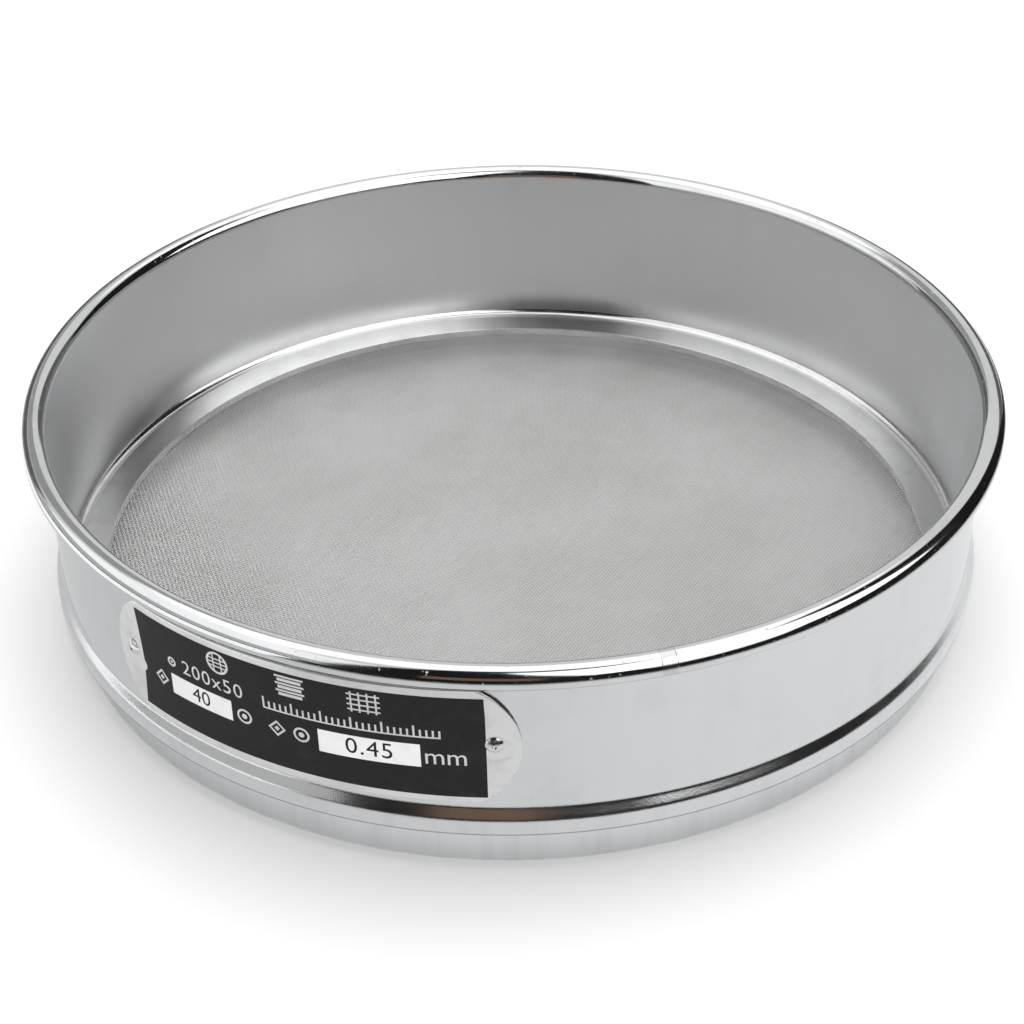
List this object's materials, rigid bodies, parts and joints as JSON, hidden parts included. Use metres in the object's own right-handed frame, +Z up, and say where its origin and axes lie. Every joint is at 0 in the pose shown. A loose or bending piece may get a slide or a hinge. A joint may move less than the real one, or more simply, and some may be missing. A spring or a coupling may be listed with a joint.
{
  "type": "soil sieve",
  "caption": "Round stacking sieve with a rolled rim, a riveted name plate, a woven wire cloth under a retaining ring, and a narrower skirt that nests in the next sieve.",
  "frame": {"origin": "centre of the circle that the skirt's lower edge stands on", "axes": "+Z up along the sieve's axis towards the rolled rim, -Y towards the viewer of the name plate's right end, +X to that viewer's right"},
  "size_m": [0.21, 0.21, 0.05],
  "materials": {
    "frame_chrome": "bright chrome plating on sheet steel, lightly stained",
    "ring_chrome": "satin to bright chrome plating on sheet steel",
    "cloth_wire": "plain woven stainless wire cloth",
    "solder": "dull tin solder",
    "plate_aluminium": "brushed aluminium with a printed black field",
    "rivet_aluminium": "bright aluminium"
  },
  "bodies": {
    "root": {"upper_ring": "frame_chrome", "seam_braze": "frame_chrome", "lower_ring": "frame_chrome", "joint_solder": "frame_chrome", "wire_cloth": "cloth_wire", "retaining_ring": "ring_chrome", "ring_solder": "ring_chrome", "cloth_solder": "solder", "name_plate": "plate_aluminium", "plate_rivets": "rivet_aluminium"}
  },
  "joints": []
}
